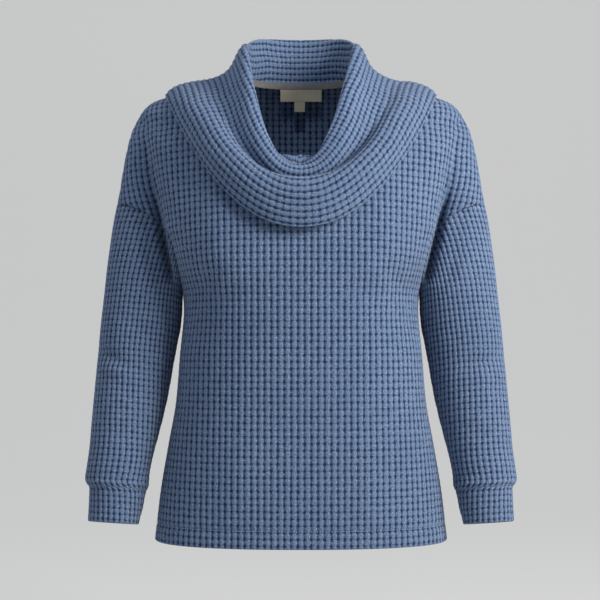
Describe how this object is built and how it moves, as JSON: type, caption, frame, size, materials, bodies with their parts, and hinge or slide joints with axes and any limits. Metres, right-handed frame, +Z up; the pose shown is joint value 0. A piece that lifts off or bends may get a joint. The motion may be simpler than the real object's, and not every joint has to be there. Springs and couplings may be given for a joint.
{
  "type": "cowl-neck sweater",
  "caption": "Women's waffle-knit sweater in worn hollow form, with dropped shoulders, long cuffed sleeves, a doubled hem and a wide cowl collar that folds over in soft rolls.",
  "frame": {"origin": "between the two high shoulder points of the neck, where the wearer's shoulders carry the sweater", "axes": "+Z up, -Y towards the front, +X towards the wearer's left"},
  "size_m": [0.64, 0.2773, 0.7591],
  "materials": {
    "waffle_knit": "matte waffle knit",
    "neck_tape": "matte woven tape",
    "neck_label": "soft satin weave"
  },
  "bodies": {
    "root": {"front": "waffle_knit", "back": "waffle_knit", "sleeve_left": "waffle_knit", "sleeve_right": "waffle_knit", "cuff_left": "waffle_knit", "cuff_right": "waffle_knit", "collar": "waffle_knit", "neck_tape": "neck_tape", "neck_label": "neck_label", "size_tab": "neck_label"}
  },
  "joints": []
}
